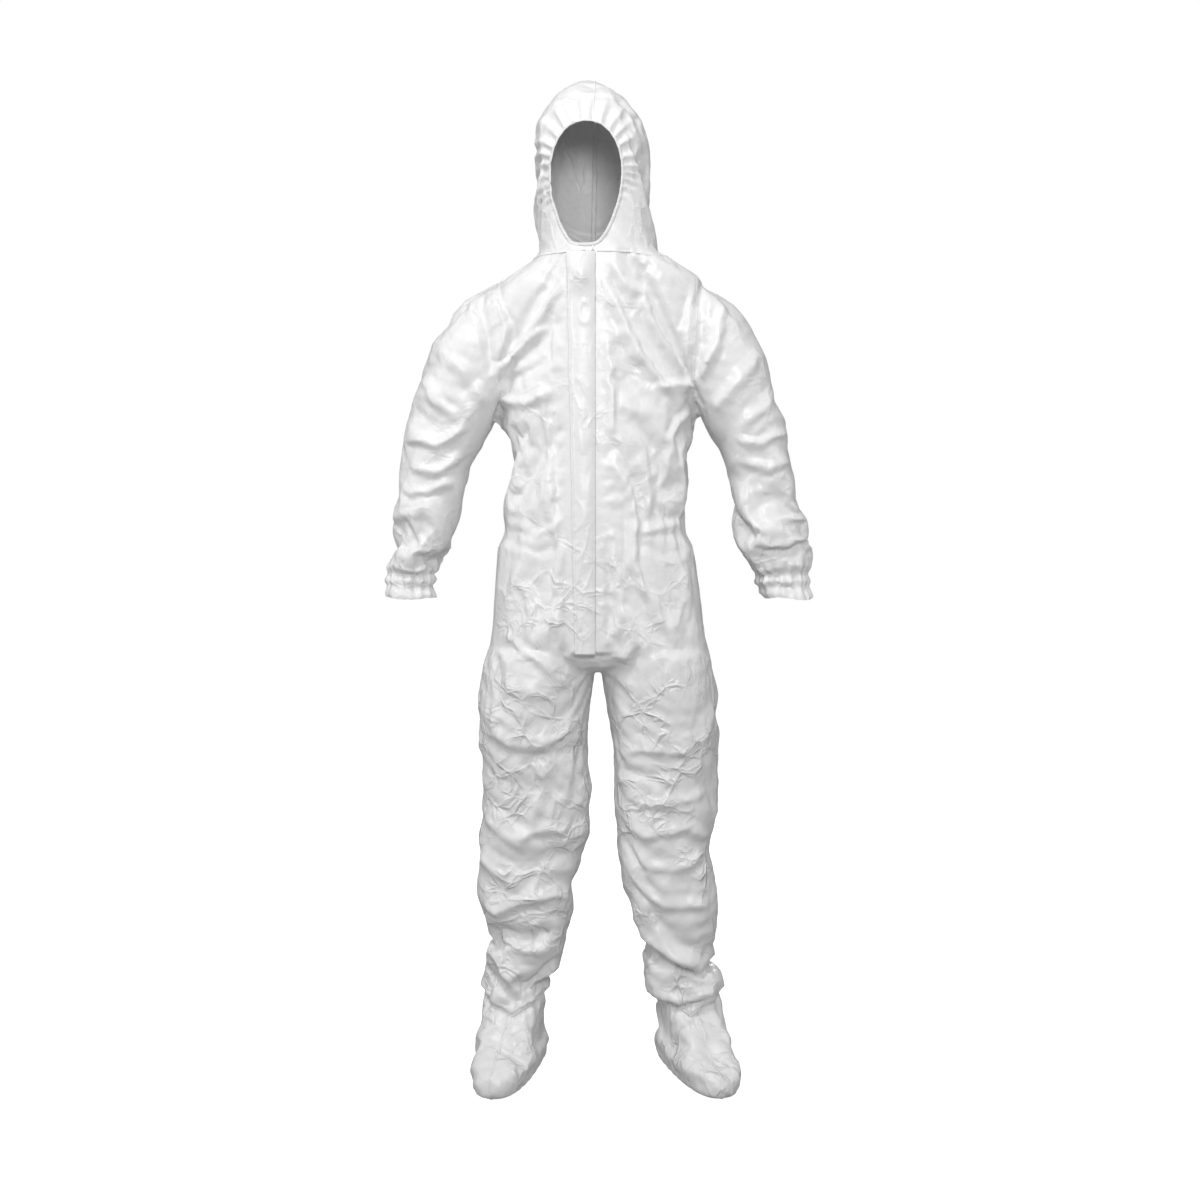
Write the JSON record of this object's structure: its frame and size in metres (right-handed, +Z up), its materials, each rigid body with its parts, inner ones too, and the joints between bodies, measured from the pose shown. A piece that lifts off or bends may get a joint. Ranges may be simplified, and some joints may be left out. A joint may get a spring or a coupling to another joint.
{
  "type": "chemical protective suit",
  "caption": "Hooded one-piece chemical protective coverall with elastic face opening and cuffs, front zip under a storm flap, and attached boots.",
  "frame": {"origin": "on the floor midway between the boots, straight below the middle of the trunk", "axes": "+Z up the standing suit, -Y the way the wearer faces, +X the wearer's left"},
  "size_m": [0.778, 0.3257, 1.799],
  "materials": {
    "laminate": "semi-gloss white film laminate on nonwoven",
    "boot_laminate": "semi-gloss white film laminate on nonwoven",
    "elastic": "white knitted elastic",
    "zip_tape": "woven polyester",
    "zip_plastic": "nylon coil",
    "slider_metal": "white enamel",
    "adhesive": "paper release liner over adhesive"
  },
  "bodies": {
    "trunk": {"left_front_panel": "laminate", "right_front_panel": "laminate", "left_back_panel": "laminate", "right_back_panel": "laminate", "waist_elastic": "elastic", "nape_section": "laminate", "left_sleeve_head": "laminate", "right_sleeve_head": "laminate", "left_hip_section": "laminate", "right_hip_section": "laminate", "left_zip_tape": "zip_tape", "right_zip_tape": "zip_tape", "left_zip_coil": "zip_plastic", "right_zip_coil": "zip_plastic", "zip_top_stops": "slider_metal", "zip_bottom_stop": "slider_metal"},
    "hood": {"left_hood_panel": "laminate", "right_hood_panel": "laminate", "face_elastic": "elastic"},
    "storm_flap": {"storm_flap": "laminate", "flap_adhesive_strip": "adhesive"},
    "slider": {"zip_slider": "slider_metal"},
    "pull": {"zip_pull": "slider_metal"},
    "left_upper_arm": {"left_upper_sleeve": "laminate", "left_elbow_section": "laminate"},
    "left_forearm": {"left_forearm_sleeve": "laminate", "left_cuff": "laminate", "left_cuff_elastic_upper": "elastic", "left_cuff_elastic_lower": "elastic"},
    "left_thigh": {"left_thigh_section": "laminate", "left_knee_section": "laminate"},
    "left_shin": {"left_shin_section": "laminate", "left_boot_outer_half": "boot_laminate", "left_boot_inner_half": "boot_laminate"},
    "right_upper_arm": {"right_upper_sleeve": "laminate", "right_elbow_section": "laminate"},
    "right_forearm": {"right_forearm_sleeve": "laminate", "right_cuff": "laminate", "right_cuff_elastic_upper": "elastic", "right_cuff_elastic_lower": "elastic"},
    "right_thigh": {"right_thigh_section": "laminate", "right_knee_section": "laminate"},
    "right_shin": {"right_shin_section": "laminate", "right_boot_outer_half": "boot_laminate", "right_boot_inner_half": "boot_laminate"}
  },
  "joints": [
    {"name": "hood_tip_back", "type": "hinge", "parent": "trunk", "child": "hood", "pos_m": [0, -0.12, 1.481], "axis": [-1, 0, 0], "range_deg": [0, 22], "deforming": ["nape_section"]},
    {"name": "storm_flap_open", "type": "hinge", "parent": "trunk", "child": "storm_flap", "pos_m": [-0.004, -0.1213, 1.129], "axis": [0, 0, 1], "range_deg": [0, 105]},
    {"name": "zip_slide", "type": "slide", "parent": "trunk", "child": "slider", "axis": [0, 0, -1], "range_m": [0, 0.64]},
    {"name": "zip_pull_swing", "type": "hinge", "parent": "slider", "child": "pull", "pos_m": [-0.016, -0.1252, 1.461], "axis": [-1, 0, 0], "range_deg": [0, 15]},
    {"name": "left_shoulder_raise", "type": "hinge", "parent": "trunk", "child": "left_upper_arm", "pos_m": [0.197, 0, 1.354], "axis": [0, -1, 0], "range_deg": [0, 60], "deforming": ["left_sleeve_head"]},
    {"name": "left_elbow_bend", "type": "hinge", "parent": "left_upper_arm", "child": "left_forearm", "pos_m": [0.297, 0, 1.12], "axis": [-1, 0, 0], "range_deg": [0, 70], "deforming": ["left_elbow_section"]},
    {"name": "left_hip_flex", "type": "hinge", "parent": "trunk", "child": "left_thigh", "pos_m": [0.113, 0, 0.714], "axis": [-1, 0, 0], "range_deg": [-10, 40], "deforming": ["left_hip_section"]},
    {"name": "left_knee_bend", "type": "hinge", "parent": "left_thigh", "child": "left_shin", "pos_m": [0.129, 0, 0.47], "axis": [1, 0, 0], "range_deg": [0, 60], "deforming": ["left_knee_section"]},
    {"name": "right_shoulder_raise", "type": "hinge", "parent": "trunk", "child": "right_upper_arm", "pos_m": [-0.197, 0, 1.354], "axis": [0, 1, 0], "range_deg": [0, 60], "deforming": ["right_sleeve_head"]},
    {"name": "right_elbow_bend", "type": "hinge", "parent": "right_upper_arm", "child": "right_forearm", "pos_m": [-0.297, 0, 1.12], "axis": [-1, 0, 0], "range_deg": [0, 70], "deforming": ["right_elbow_section"]},
    {"name": "right_hip_flex", "type": "hinge", "parent": "trunk", "child": "right_thigh", "pos_m": [-0.113, 0, 0.714], "axis": [-1, 0, 0], "range_deg": [-10, 40], "deforming": ["right_hip_section"]},
    {"name": "right_knee_bend", "type": "hinge", "parent": "right_thigh", "child": "right_shin", "pos_m": [-0.129, 0, 0.47], "axis": [1, 0, 0], "range_deg": [0, 60], "deforming": ["right_knee_section"]}
  ]
}
